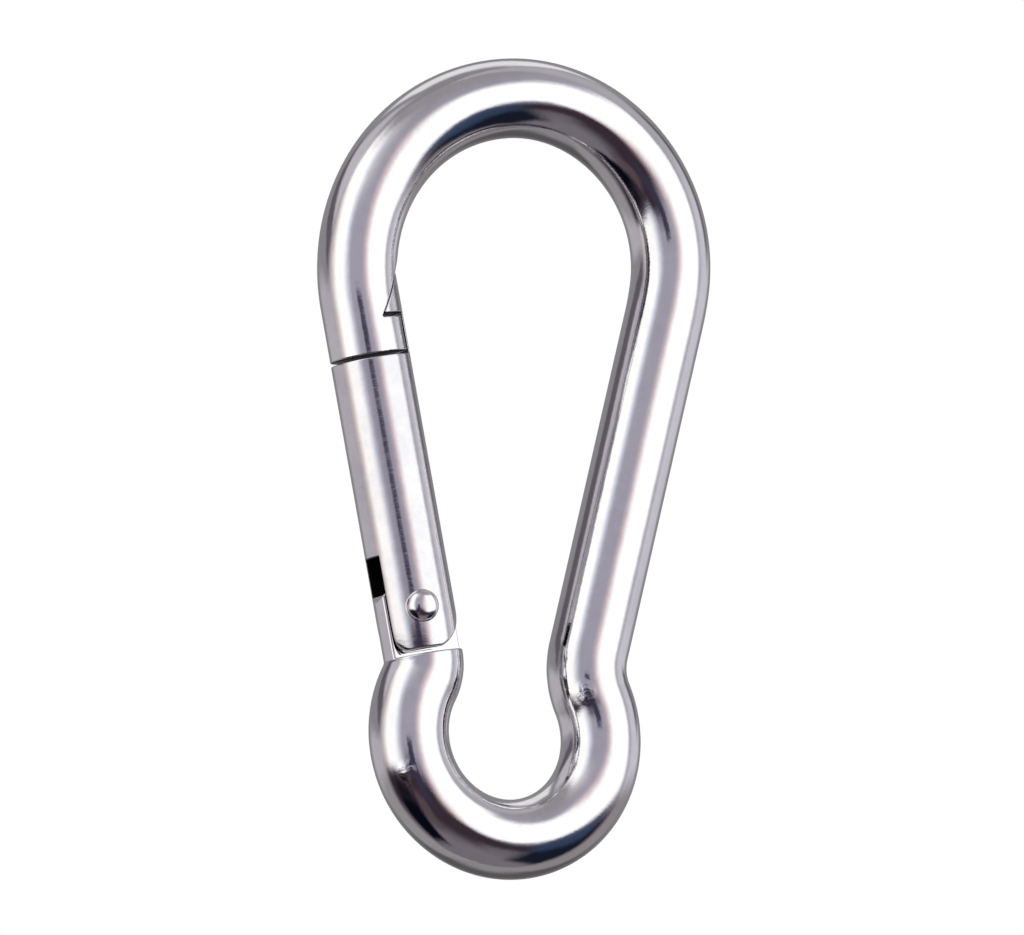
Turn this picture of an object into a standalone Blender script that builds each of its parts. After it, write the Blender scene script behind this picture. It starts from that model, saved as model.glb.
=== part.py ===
# Spring gate snap hook, 80 mm long, bent from 7.7 mm round stainless bar.
#
# Frame: +Z towards the big bow, the gate on -X, the spine on +X, the loop
# lies in the XZ plane and is symmetric about Y = 0.  The origin is the seat
# at the inner apex of the big bow, where the hook hangs on a rope or a ring.
# Units are metres.

import math

import bmesh
import bpy
from mathutils import Matrix, Vector

# ---------------------------------------------------------------- dimensions
D = 0.0077                  # bar diameter; the shape below is given in bars

# centre line of the bar, in bars, measured from the big bow's centre
R_BOW_SPINE = 2.01          # bow radius on the spine side
R_BOW_GATE = 2.31           # bow radius on the gate side
BOW_SPLIT_DEG = 99.8        # where the two bow arcs meet, from +X
R_SHOULDER = 4.0            # long arc from the bow into the spine
SHOULDER_START_DEG = 5.5
GATE_LEAN_DEG = 13.5        # gate axis against Z, foot towards the spine
SPINE_LEAN_DEG = 11.2       # spine against Z, foot towards the gate
EYE_Z = -6.08               # eye centre
R_EYE = 1.305               # eye centre-line radius
R_NECK_SPINE = 0.95         # neck bend on the spine side
R_NECK_GATE = 0.55          # neck bend on the gate side

# gate frame: u is across the gate axis towards the inside of the loop,
# h is along the gate axis towards the bow, both from the rivet's level
RIVET_T = 3.89              # rivet below the start of the straight nose
RIVET_U = -0.10             # rivet off the gate axis, towards the outside
NOSE_END_H = 3.2025
GATE_END_H = 3.1575
BLOCK_TOP_H = 3.64          # latch block of the nose, its catching face
BLOCK_U = 0.365             # inner face of the latch block
NOTCH_U = 0.05              # deepest line of the notch
LATCH_GAP = 0.045           # play between the barb and the latch block
BARB_TIP_U = 0.108
LATCH_DEG = 33.0            # slope of the barb's flank
ARM_U = 0.405               # outer face of the gate's latch arm
GATE_FLAT_U = 0.455         # flat along the inside of the gate

SLOT_HALF = 0.205           # hinge slot of the gate
SLOT_TOP_H = 0.70
CHEEK_FOOT_H = -0.532
CHEEK_SWEEP_R = 0.56        # the cheeks' inner lower corner, about the rivet
SHOULDER_H = -0.58          # where the bar is full round again
TANG_HALF = 0.17
TANG_FLAT_U = 0.44
TANG_OUT_H = 0.27
TANG_IN_H = 0.15

SHANK_R = 0.13
HOLE_R = 0.17
HEAD_R = 0.205
HEAD_TOP = 0.612
HEAD_RIM = 0.50
SEAT_R = 0.539              # underside of the rivet heads about the gate axis

BORE_R = 0.21
BORE_TOP_H = 2.38
BORE_TIP_H = 2.46
PLUNGER_R = 0.17
PLUNGER_TIP_H = 0.248
PLUNGER_SHOULDER_H = 1.15
SPIGOT_R = 0.075
SPIGOT_TOP_H = 1.35
WIRE_R = 0.0275
COIL_R = 0.1425
COIL_LOW_H = 1.22
COIL_HIGH_H = 2.31
COIL_TURNS = 9

ARC_STEP_DEG = 6.0
BAR_RESOLUTION = 10         # 24 sides

APEX = R_BOW_SPINE - 0.5    # inner apex of the bow above the bow's centre
LEAN = math.radians(GATE_LEAN_DEG)


# ------------------------------------------------------------------ geometry
def arc(cx, cz, r, a0, a1, skip_first=True):
    """Points on an arc in bars, angles in radians from +X."""
    n = max(2, int(math.ceil(abs(math.degrees(a1 - a0)) / ARC_STEP_DEG)))
    start = 1 if skip_first else 0
    return [(cx + r * math.cos(a0 + (a1 - a0) * i / n),
             cz + r * math.sin(a0 + (a1 - a0) * i / n))
            for i in range(start, n + 1)]


def neck(point, direction, side, radius):
    """Bend that leaves a straight run and meets the eye from outside.

    Returns its centre, its start on the straight and its end on the eye."""
    px, pz = point
    dx, dz = direction
    nx, nz = side
    wx = px + radius * nx
    wz = pz + radius * nz - EYE_Z
    b = 2.0 * (wx * dx + wz * dz)
    c = wx * wx + wz * wz - (R_EYE + radius) ** 2
    s = (-b - math.sqrt(b * b - 4.0 * c)) / 2.0
    cx, cz = px + s * dx + radius * nx, pz + s * dz + radius * nz
    length = math.hypot(cx, cz - EYE_Z)
    end = (cx - cx / length * radius, cz + (EYE_Z - cz) / length * radius)
    return (cx, cz), (px + s * dx, pz + s * dz), end


split = math.radians(BOW_SPLIT_DEG)
lean_s = math.radians(SPINE_LEAN_DEG)
start_s = math.radians(SHOULDER_START_DEG)

# big bow, gate side: its centre is on the line through the split point
gate_cx = (R_BOW_SPINE - R_BOW_GATE) * math.cos(split)
gate_cz = (R_BOW_SPINE - R_BOW_GATE) * math.sin(split)
nose_start = (gate_cx - R_BOW_GATE * math.cos(LEAN),
              gate_cz - R_BOW_GATE * math.sin(LEAN))
gate_dir = (math.sin(LEAN), -math.cos(LEAN))       # down the gate
gate_in = (math.cos(LEAN), math.sin(LEAN))         # towards the loop's inside

# shoulder arc and spine
sh_cx = (R_BOW_SPINE - R_SHOULDER) * math.cos(-start_s)
sh_cz = (R_BOW_SPINE - R_SHOULDER) * math.sin(-start_s)
spine_start = (sh_cx + R_SHOULDER * math.cos(-lean_s),
               sh_cz + R_SHOULDER * math.sin(-lean_s))
spine_dir = (-math.sin(lean_s), -math.cos(lean_s))
spine_out = (math.cos(lean_s), -math.sin(lean_s))

neck_s, neck_s_start, neck_s_end = neck(spine_start, spine_dir, spine_out,
                                        R_NECK_SPINE)
neck_g, neck_g_start, neck_g_end = neck(nose_start, gate_dir,
                                        (-gate_in[0], -gate_in[1]),
                                        R_NECK_GATE)


def gate_point(u, h):
    """Bars, from the gate frame to the bow centre's frame."""
    t = RIVET_T - h
    return (nose_start[0] + t * gate_dir[0] + u * gate_in[0],
            nose_start[1] + t * gate_dir[1] + u * gate_in[1])


def angle_from(centre, point):
    return math.atan2(point[1] - centre[1], point[0] - centre[0])


def short_turn(a0, a1):
    return a0 + (a1 - a0 + math.pi) % (2.0 * math.pi) - math.pi


def centre_line():
    pts = [gate_point(0.0, NOSE_END_H), gate_point(0.0, BLOCK_TOP_H + 0.05),
           nose_start]
    pts += arc(gate_cx, gate_cz, R_BOW_GATE, math.pi + LEAN, split)
    pts += arc(0.0, 0.0, R_BOW_SPINE, split, -start_s)
    pts += arc(sh_cx, sh_cz, R_SHOULDER, -start_s, -lean_s)
    pts += [neck_s_start]
    a0 = angle_from(neck_s, neck_s_start)
    pts += arc(neck_s[0], neck_s[1], R_NECK_SPINE, a0,
               short_turn(a0, angle_from(neck_s, neck_s_end)))
    a0 = angle_from((0.0, EYE_Z), neck_s_end)
    a1 = angle_from((0.0, EYE_Z), neck_g_end)
    while a1 > a0:
        a1 -= 2.0 * math.pi
    pts += arc(0.0, EYE_Z, R_EYE, a0, a1)
    a0 = angle_from(neck_g, neck_g_end)
    pts += arc(neck_g[0], neck_g[1], R_NECK_GATE, a0,
               short_turn(a0, angle_from(neck_g, neck_g_start)))
    pts += [gate_point(0.0, 0.36)]
    return pts


def world(p):
    """Bars about the bow's centre to metres about the bow seat."""
    return Vector((p[0] * D, 0.0, (p[1] - APEX) * D))


# --------------------------------------------------------------- scene set-up
for old in list(bpy.data.objects):
    bpy.data.objects.remove(old, do_unlink=True)

parts = bpy.data.collections.new("snap_hook")
cutters = bpy.data.collections.new("snap_hook_cutters")
bpy.context.scene.collection.children.link(parts)
bpy.context.scene.collection.children.link(cutters)

# the gate's frame: origin on the rivet's axis, Z up the gate, X inwards
pivot = bpy.data.objects.new("gate_pivot", None)
pivot.location = world(gate_point(RIVET_U, 0.0))
pivot.rotation_euler = (0.0, -LEAN, 0.0)
parts.objects.link(pivot)
bpy.context.view_layer.update()


def gate_local(u, h, y=0.0):
    return Vector(((u - RIVET_U) * D, y * D, h * D))


def material(name, colour, roughness, metallic=1.0):
    mat = bpy.data.materials.new(name)
    mat.use_nodes = True
    node = mat.node_tree.nodes["Principled BSDF"]
    node.inputs["Base Color"].default_value = (*colour, 1.0)
    node.inputs["Roughness"].default_value = roughness
    node.inputs["Metallic"].default_value = metallic
    return mat


def add(name, data, coll, parent=None):
    ob = bpy.data.objects.new(name, data)
    coll.objects.link(ob)
    if parent is not None:
        ob.parent = parent
    if coll is cutters:
        ob.hide_render = True
        ob.display_type = 'WIRE'
    return ob


def solid_from_curve(ob):
    """The curve's evaluated shape as a mesh object, its caps welded."""
    bpy.context.view_layer.update()
    graph = bpy.context.evaluated_depsgraph_get()
    mesh = bpy.data.meshes.new_from_object(ob.evaluated_get(graph))
    bm = bmesh.new()
    bm.from_mesh(mesh)
    bmesh.ops.remove_doubles(bm, verts=bm.verts, dist=1e-6)
    bmesh.ops.recalc_face_normals(bm, faces=bm.faces)
    bm.to_mesh(mesh)
    bm.free()
    name, coll, parent = ob.name, ob.users_collection[0], ob.parent
    place = ob.matrix_world.copy()
    curve = ob.data
    bpy.data.objects.remove(ob, do_unlink=True)
    bpy.data.curves.remove(curve)
    new = add(name, mesh, coll, parent)
    new.matrix_world = place
    return new


def tube(name, points, radius, resolution, coll, parent=None):
    curve = bpy.data.curves.new(name, 'CURVE')
    curve.dimensions = '3D'
    curve.twist_mode = 'MINIMUM'
    spline = curve.splines.new('POLY')
    spline.points.add(len(points) - 1)
    for point, co in zip(spline.points, points):
        point.co = (co[0], co[1], co[2], 1.0)
    curve.bevel_depth = radius
    curve.bevel_resolution = resolution
    curve.use_fill_caps = True
    return add(name, curve, coll, parent)


def plate(name, outline, half):
    """Cutter: an outline in the gate's (u, h) plane, extruded across Y."""
    curve = bpy.data.curves.new(name, 'CURVE')
    curve.dimensions = '2D'
    curve.fill_mode = 'BOTH'
    curve.extrude = half * D
    spline = curve.splines.new('POLY')
    spline.points.add(len(outline) - 1)
    for point, (u, h) in zip(spline.points, outline):
        co = gate_local(u, h)
        point.co = (co.x, co.z, 0.0, 1.0)
    spline.use_cyclic_u = True
    ob = add(name, curve, cutters, pivot)
    ob.rotation_euler = (math.radians(90.0), 0.0, 0.0)
    return solid_from_curve(ob)


def block(name, u0, u1, y0, y1, h0, h1):
    """Cutter: a box in the gate's frame."""
    mesh = bpy.data.meshes.new(name)
    bm = bmesh.new()
    bmesh.ops.create_cube(bm, size=1.0)
    size = Matrix.Diagonal(((u1 - u0) * D, (y1 - y0) * D, (h1 - h0) * D, 1.0))
    mid = gate_local((u0 + u1) / 2.0, (h0 + h1) / 2.0, (y0 + y1) / 2.0)
    bmesh.ops.transform(bm, verts=bm.verts,
                        matrix=Matrix.Translation(mid) @ size)
    bm.to_mesh(mesh)
    bm.free()
    return add(name, mesh, cutters, pivot)


def rod(name, radius, length, middle, axis, sides, coll, parent):
    """Cylinder with its axis along local 'Y' or 'Z'."""
    mesh = bpy.data.meshes.new(name)
    bm = bmesh.new()
    bmesh.ops.create_cone(bm, cap_ends=True, segments=sides,
                          radius1=radius * D, radius2=radius * D,
                          depth=length * D)
    turn = (Matrix.Rotation(math.radians(90.0), 4, 'X') if axis == 'Y'
            else Matrix.Identity(4))
    bmesh.ops.transform(bm, verts=bm.verts,
                        matrix=Matrix.Translation(middle) @ turn)
    bm.to_mesh(mesh)
    bm.free()
    return add(name, mesh, coll, parent)


def turned(name, profile, coll, parent, steps=24):
    """Turned piece: profile of (radius, height) from top to bottom, bars."""
    mesh = bpy.data.meshes.new(name)
    verts = [(r * D, 0.0, z * D) for r, z in profile]
    edges = [(i, i + 1) for i in range(len(verts) - 1)]
    mesh.from_pydata(verts, edges, [])
    ob = add(name, mesh, coll, parent)
    screw = ob.modifiers.new("turn", 'SCREW')
    screw.axis = 'Z'
    screw.angle = 2.0 * math.pi
    screw.steps = steps
    screw.render_steps = steps
    screw.use_merge_vertices = True
    screw.merge_threshold = 1e-6
    return ob


def cut(ob, other, operation='DIFFERENCE'):
    mod = ob.modifiers.new(other.name, 'BOOLEAN')
    mod.operation = operation
    mod.solver = 'EXACT'
    mod.object = other
    return mod


def smooth(ob, degrees=30.0):
    ob.data.shade_smooth()
    ob.data.set_sharp_from_angle(angle=math.radians(degrees))


# ---------------------------------------------------------------------- body
steel = material("body_steel", (0.70, 0.69, 0.70), 0.16)
body = solid_from_curve(tube("body", [world(p) for p in centre_line()],
                             0.5 * D, BAR_RESOLUTION, parts))
smooth(body)
body.data.materials.clear()
body.data.materials.append(steel)

slope = math.tan(math.radians(LATCH_DEG))
far_u = 0.80
cut(body, plate("nose_notch", [
    (far_u, NOSE_END_H - 0.10),
    (BLOCK_U, NOSE_END_H - 0.10),
    (BLOCK_U, BLOCK_TOP_H),
    (NOTCH_U, BLOCK_TOP_H),
    (far_u, BLOCK_TOP_H + (far_u - NOTCH_U) / slope)], 0.7))
for tag, sign in (("front", -1.0), ("back", 1.0)):
    y0, y1 = sorted((sign * TANG_HALF, sign * 0.8))
    cut(body, block("tang_side_" + tag, -0.8, 0.8, y0, y1, SHOULDER_H, 0.6))

# end of the tang: a slope that the plunger bears on, outer corner rounded
fall = (TANG_IN_H - TANG_OUT_H) / (TANG_FLAT_U + 0.5)
corner_r = 0.12
corner_u = -0.5 + corner_r
corner_h = TANG_OUT_H + fall * corner_r - corner_r * math.hypot(1.0, fall)
end_angle = math.atan2(1.0, -fall)
corner = [(corner_u + corner_r * math.cos(math.pi + (end_angle - math.pi) * i / 6),
           corner_h + corner_r * math.sin(math.pi + (end_angle - math.pi) * i / 6))
          for i in range(7)]
cut(body, plate("tang_end", [(-0.8, corner_h)] + corner + [
    (0.8, TANG_OUT_H + fall * 1.3), (0.8, 0.9), (-0.8, 0.9)], 0.7))
cut(body, plate("tang_flat", [
    (TANG_FLAT_U, 0.95), (0.9, 0.95), (0.9, -1.3), (TANG_FLAT_U, -1.3)], 0.7))
cut(body, rod("tang_hole", HOLE_R, 1.4, Vector((0.0, 0.0, 0.0)), 'Y', 24,
              cutters, pivot))

# ---------------------------------------------------------------------- gate
barb_top_h = BLOCK_TOP_H + LATCH_GAP + (GATE_FLAT_U - BARB_TIP_U) / slope
low, high = -0.7, barb_top_h + 0.3
gate = rod("gate", 0.5, high - low, gate_local(0.0, (low + high) / 2.0), 'Z',
           32, parts, pivot)
gate.data.materials.append(material("gate_steel", (0.64, 0.62, 0.64), 0.24))

# outline of the gate seen along the rivet
sweep_u = math.sqrt(CHEEK_SWEEP_R ** 2 - CHEEK_FOOT_H ** 2)
flat_off = GATE_FLAT_U - RIVET_U
sweep_0 = math.atan2(CHEEK_FOOT_H, sweep_u)
sweep_1 = math.atan2(-math.sqrt(CHEEK_SWEEP_R ** 2 - flat_off ** 2), flat_off)
foot_a, foot_b = 0.20, 0.40
outline = [(-0.62, GATE_END_H), (-0.62, CHEEK_FOOT_H + foot_b)]
outline += [(-0.5 + foot_a - foot_a * math.cos(math.radians(15.0 * i)),
             CHEEK_FOOT_H + foot_b - foot_b * math.sin(math.radians(15.0 * i)))
            for i in range(0, 7)]
outline += [(RIVET_U + CHEEK_SWEEP_R * math.cos(sweep_0 + (sweep_1 - sweep_0) * i / 8),
             CHEEK_SWEEP_R * math.sin(sweep_0 + (sweep_1 - sweep_0) * i / 8))
            for i in range(0, 9)]
outline += [(GATE_FLAT_U, barb_top_h),
            (BARB_TIP_U, BLOCK_TOP_H + LATCH_GAP),
            (ARM_U, BLOCK_TOP_H + LATCH_GAP),
            (ARM_U, GATE_END_H)]
cut(gate, plate("gate_outline", outline, 0.8), 'INTERSECT')
cut(gate, block("gate_slot", -0.9, 0.9, -SLOT_HALF, SLOT_HALF, -1.0,
                SLOT_TOP_H))
bore = turned("gate_bore", [(0.0, BORE_TIP_H), (BORE_R, BORE_TOP_H),
                            (BORE_R, 0.5), (0.0, 0.5)], cutters, pivot)
bore.location = gate_local(0.0, 0.0)
cut(gate, bore)
cut(gate, rod("gate_rivet_hole", HOLE_R, 1.4, Vector((0.0, 0.0, 0.0)), 'Y', 24,
              cutters, pivot))
smooth(gate)

# --------------------------------------------------------------------- rivet
cap = HEAD_TOP - HEAD_RIM
sphere_r = (HEAD_R ** 2 + cap ** 2) / (2.0 * cap)
open_angle = math.asin(HEAD_R / sphere_r)
dome = [(sphere_r * math.sin(open_angle * i / 6),
         HEAD_TOP - sphere_r * (1.0 - math.cos(open_angle * i / 6)))
        for i in range(7)]
rivet = turned("hinge_rivet", dome + [(r, -z) for r, z in reversed(dome)],
               parts, pivot)
rivet.rotation_euler = (math.radians(90.0), 0.0, 0.0)
cut(rivet, rod("rivet_seat", SEAT_R, 2.0, gate_local(0.0, 0.0), 'Z', 48,
               cutters, pivot))
shank = rod("rivet_shank", SHANK_R, 1.13, Vector((0.0, 0.0, 0.0)), 'Y', 24,
            cutters, pivot)
cut(rivet, shank, 'UNION')
rivet.data.materials.append(material("rivet_steel", (0.74, 0.73, 0.73), 0.12))
smooth(rivet)

# ------------------------------------------------------------------- plunger
tip = [(PLUNGER_R * math.sin(math.radians(90.0 - 15.0 * i)),
        PLUNGER_TIP_H + PLUNGER_R * (1.0 - math.cos(math.radians(90.0 - 15.0 * i))))
       for i in range(7)]
plunger = turned("plunger", [(0.0, SPIGOT_TOP_H), (SPIGOT_R, SPIGOT_TOP_H),
                             (SPIGOT_R, PLUNGER_SHOULDER_H),
                             (PLUNGER_R, PLUNGER_SHOULDER_H)] + tip,
                 parts, pivot)
plunger.location = gate_local(0.0, 0.0)
plunger.data.materials.append(material("plunger_steel", (0.45, 0.44, 0.44), 0.30))
smooth(plunger)

# -------------------------------------------------------------------- spring
def coil():
    pts = []
    per_turn = 12
    total = COIL_TURNS * per_turn
    closed = 2.0 * WIRE_R * 1.15                  # closed end coils
    span = COIL_HIGH_H - COIL_LOW_H
    free = (span - 2.0 * closed) / (COIL_TURNS - 2)
    for i in range(total + 1):
        turn = i / per_turn
        if turn < 1.0:
            z = closed * turn
        elif turn > COIL_TURNS - 1.0:
            z = span - closed * (COIL_TURNS - turn)
        else:
            z = closed + free * (turn - 1.0)
        a = 2.0 * math.pi * turn
        pts.append(gate_local(COIL_R * math.cos(a), COIL_LOW_H + z,
                              COIL_R * math.sin(a)))
    return pts


spring = solid_from_curve(tube("gate_spring", coil(), WIRE_R * D, 2, parts,
                               pivot))
spring.data.materials.append(material("spring_steel", (0.50, 0.49, 0.48), 0.28))
smooth(spring, 60.0)
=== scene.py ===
# Looks of the spring gate snap hook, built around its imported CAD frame.
#
# Every visible piece is a dense mesh of the same shape as its CAD node, with
# rounded edges and exact surface normals, in procedural stainless materials.

import math

import bpy
import numpy as np
from mathutils import Matrix, Vector


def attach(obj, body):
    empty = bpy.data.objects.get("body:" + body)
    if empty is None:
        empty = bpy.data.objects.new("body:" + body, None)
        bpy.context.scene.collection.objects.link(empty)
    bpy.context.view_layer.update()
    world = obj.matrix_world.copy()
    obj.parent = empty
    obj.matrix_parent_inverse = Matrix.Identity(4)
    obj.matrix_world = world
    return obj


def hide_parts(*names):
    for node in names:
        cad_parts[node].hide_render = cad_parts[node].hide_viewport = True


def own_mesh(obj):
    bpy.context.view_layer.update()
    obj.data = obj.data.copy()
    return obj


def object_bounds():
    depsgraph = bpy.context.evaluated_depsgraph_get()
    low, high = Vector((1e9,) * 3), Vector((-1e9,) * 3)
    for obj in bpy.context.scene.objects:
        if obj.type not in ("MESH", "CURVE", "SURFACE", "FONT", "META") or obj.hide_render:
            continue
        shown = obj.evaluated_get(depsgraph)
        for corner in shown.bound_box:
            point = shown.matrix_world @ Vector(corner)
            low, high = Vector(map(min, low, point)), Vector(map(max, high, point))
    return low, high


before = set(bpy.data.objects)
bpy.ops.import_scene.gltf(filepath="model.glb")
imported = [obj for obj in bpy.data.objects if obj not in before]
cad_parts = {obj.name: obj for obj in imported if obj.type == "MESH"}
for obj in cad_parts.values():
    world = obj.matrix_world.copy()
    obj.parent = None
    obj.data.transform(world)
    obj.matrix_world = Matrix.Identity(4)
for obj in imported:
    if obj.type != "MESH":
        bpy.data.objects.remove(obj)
cad_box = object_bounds()

# ------------------------------------------------------------------ dimensions
# The same numbers as the CAD, in bar diameters unless a name says otherwise.
D = 0.0077
R_BOW_SPINE, R_BOW_GATE, R_SHOULDER = 2.01, 2.31, 4.0
SPLIT = math.radians(99.8)
START_S = math.radians(5.5)
LEAN = math.radians(13.5)
LEAN_S = math.radians(11.2)
EYE_Z, R_EYE = -6.08, 1.305
R_NECK_SPINE, R_NECK_GATE = 0.95, 0.55
APEX = R_BOW_SPINE - 0.5

RIVET_T, RIVET_U = 3.89, -0.10
NOSE_END_H, GATE_END_H = 3.2025, 3.1575
BLOCK_TOP_H, BLOCK_U, NOTCH_U = 3.64, 0.365, 0.05
LATCH_GAP, BARB_TIP_U = 0.045, 0.108
SLOPE = math.tan(math.radians(33.0))
ARM_U, GATE_FLAT_U = 0.405, 0.455
SLOT_HALF, SLOT_TOP_H = 0.205, 0.70
CHEEK_FOOT_H, CHEEK_SWEEP_R, SHOULDER_H = -0.532, 0.56, -0.58
TANG_HALF, TANG_FLAT_U, TANG_OUT_H, TANG_IN_H = 0.17, 0.44, 0.27, 0.15
HOLE_R, SHANK_R, HEAD_R, HEAD_RISE = 0.17, 0.13, 0.205, 0.118
BORE_R, BORE_TOP_H, BORE_TIP_H = 0.21, 2.38, 2.46
PLUNGER_R, PLUNGER_TIP_H, PLUNGER_SHOULDER_H = 0.17, 0.248, 1.15
SPIGOT_R, SPIGOT_TOP_H = 0.075, 1.35
WIRE_R, COIL_R, COIL_LOW_H, COIL_HIGH_H, COIL_TURNS = 0.0275, 0.1425, 1.20, 2.31, 9


# ----------------------------------------------------------------- centre line
def neck(point, direction, side, radius):
    px, pz = point
    dx, dz = direction
    wx = px + radius * side[0]
    wz = pz + radius * side[1] - EYE_Z
    b = 2.0 * (wx * dx + wz * dz)
    c = wx * wx + wz * wz - (R_EYE + radius) ** 2
    s = (-b - math.sqrt(b * b - 4.0 * c)) / 2.0
    cx = px + s * dx + radius * side[0]
    cz = pz + s * dz + radius * side[1]
    length = math.hypot(cx, cz - EYE_Z)
    end = (cx - cx / length * radius, cz + (EYE_Z - cz) / length * radius)
    return (cx, cz), (px + s * dx, pz + s * dz), end, s


gate_c = ((R_BOW_SPINE - R_BOW_GATE) * math.cos(SPLIT),
          (R_BOW_SPINE - R_BOW_GATE) * math.sin(SPLIT))
nose_start = (gate_c[0] - R_BOW_GATE * math.cos(LEAN),
              gate_c[1] - R_BOW_GATE * math.sin(LEAN))
gate_dir = (math.sin(LEAN), -math.cos(LEAN))
gate_in = (math.cos(LEAN), math.sin(LEAN))
sh_c = ((R_BOW_SPINE - R_SHOULDER) * math.cos(-START_S),
        (R_BOW_SPINE - R_SHOULDER) * math.sin(-START_S))
spine_start = (sh_c[0] + R_SHOULDER * math.cos(-LEAN_S),
               sh_c[1] + R_SHOULDER * math.sin(-LEAN_S))
spine_dir = (-math.sin(LEAN_S), -math.cos(LEAN_S))
spine_out = (math.cos(LEAN_S), -math.sin(LEAN_S))
neck_s, neck_s_start, neck_s_end, spine_len = neck(
    spine_start, spine_dir, spine_out, R_NECK_SPINE)
neck_g, neck_g_start, neck_g_end, gate_len = neck(
    nose_start, gate_dir, (-gate_in[0], -gate_in[1]), R_NECK_GATE)
BEND_H = RIVET_T - gate_len          # where the bar under the hinge starts to bend


def to_world(u, y, h):
    """Gate frame in bars to the row's frame in metres, as an (n, 3) array."""
    u, y, h = np.broadcast_arrays(u, y, h)
    t = RIVET_T - h
    return np.stack([(nose_start[0] + t * gate_dir[0] + u * gate_in[0]) * D,
                     y * D,
                     (nose_start[1] + t * gate_dir[1] + u * gate_in[1] - APEX) * D],
                    axis=-1)


def turn_to_world(n):
    """Directions in the gate frame to the row's frame."""
    u, y, h = n[:, 0], n[:, 1], n[:, 2]
    return np.stack([u * gate_in[0] - h * gate_dir[0], y,
                     u * gate_in[1] - h * gate_dir[1]], axis=-1)


# --------------------------------------------------------- distance functions
def sd_poly(x, y, pts):
    pts = np.asarray(pts, float)
    d = np.full(np.broadcast(x, y).shape, 1e9)
    s = np.ones(d.shape)
    j = len(pts) - 1
    for i in range(len(pts)):
        ex, ey = pts[j] - pts[i]
        wx, wy = x - pts[i, 0], y - pts[i, 1]
        t = np.clip((wx * ex + wy * ey) / (ex * ex + ey * ey), 0.0, 1.0)
        d = np.minimum(d, (wx - ex * t) ** 2 + (wy - ey * t) ** 2)
        c1, c2, c3 = y >= pts[i, 1], y < pts[j, 1], ex * wy > ey * wx
        s = np.where((c1 & c2 & c3) | (~c1 & ~c2 & ~c3), -s, s)
        j = i
    return s * np.sqrt(d)


def round_corners(pts):
    """Outline of (x, y, radius) with every corner of a radius as an arc."""
    out = []
    n = len(pts)
    for i in range(n):
        x, y, r = pts[i]
        if r <= 0.0:
            out.append((x, y))
            continue
        p = Vector((x, y))
        a = (Vector(pts[i - 1][:2]) - p).normalized()
        b = (Vector(pts[(i + 1) % n][:2]) - p).normalized()
        half = a.angle(b) / 2.0
        reach = r / math.tan(half)
        centre = p + (a + b).normalized() * (r / math.sin(half))
        p0, p1 = p + a * reach, p + b * reach
        a0 = math.atan2(p0.y - centre.y, p0.x - centre.x)
        a1 = math.atan2(p1.y - centre.y, p1.x - centre.x)
        turn = (a1 - a0 + math.pi) % (2.0 * math.pi) - math.pi
        out += [(centre.x + r * math.cos(a0 + turn * k / 6),
                 centre.y + r * math.sin(a0 + turn * k / 6)) for k in range(7)]
    return out


def both(a, b, r):
    """What two solids share, with the edge between them rounded by r."""
    u, v = np.maximum(a + r, 0.0), np.maximum(b + r, 0.0)
    return np.minimum(np.maximum(a, b), -r) + np.sqrt(u * u + v * v)


def ease(a, b, x):
    t = np.clip((x - a) / (b - a), 0.0, 1.0)
    return t * t * (3.0 - 2.0 * t)


NOTCH = round_corners([
    (1.6, 2.6, 0), (BLOCK_U, 2.6, 0), (BLOCK_U, BLOCK_TOP_H, 0.02),
    (NOTCH_U, BLOCK_TOP_H, 0.012),
    (1.6, BLOCK_TOP_H + (1.6 - NOTCH_U) / SLOPE, 0)])


def nose_shape(u, y, h):
    low = h < RIVET_T
    rp = np.sqrt((u - R_BOW_GATE) ** 2 + np.maximum(h - RIVET_T, 0.0) ** 2)
    across = np.where(low, u, R_BOW_GATE - rp)
    bar = np.sqrt(across ** 2 + y * y) - 0.5
    d = both(bar, NOSE_END_H - h, 0.014)
    cut = -sd_poly(u, h, NOTCH)
    edge = 0.012 + 0.012 * ease(3.9, 3.6, h)
    return both(d, cut, edge)


fall = (TANG_IN_H - TANG_OUT_H) / (TANG_FLAT_U + 0.5)
TANG = round_corners([
    (-1.2, -3.5, 0), (-1.2, TANG_OUT_H - 0.7 * fall, 0),
    (TANG_FLAT_U, TANG_IN_H, 0.05), (TANG_FLAT_U, -3.5, 0)])
TANG_CORNER = round_corners([
    (-0.5, -3.5, 0), (-0.5, TANG_OUT_H, 0.12), (0.9, TANG_OUT_H + fall * 1.4, 0),
    (0.9, -3.5, 0)])


def tang_shape(u, y, h):
    low = h < BEND_H
    rp = np.sqrt((u + R_NECK_GATE) ** 2 + np.minimum(h - BEND_H, 0.0) ** 2)
    across = np.where(low, rp - R_NECK_GATE, u)
    bar = np.sqrt(across ** 2 + y * y) - 0.5
    side = np.maximum(SHOULDER_H - h, TANG_HALF - np.abs(y))
    d = both(bar, -side, 0.025)
    d = both(d, sd_poly(u, h, TANG), 0.018)
    corner = np.where(h > -0.3, sd_poly(u, h, TANG_CORNER), -1.0)
    d = np.maximum(d, corner)
    hole = HOLE_R - np.sqrt((u - RIVET_U) ** 2 + h * h)
    return both(d, hole, 0.015)


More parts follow.
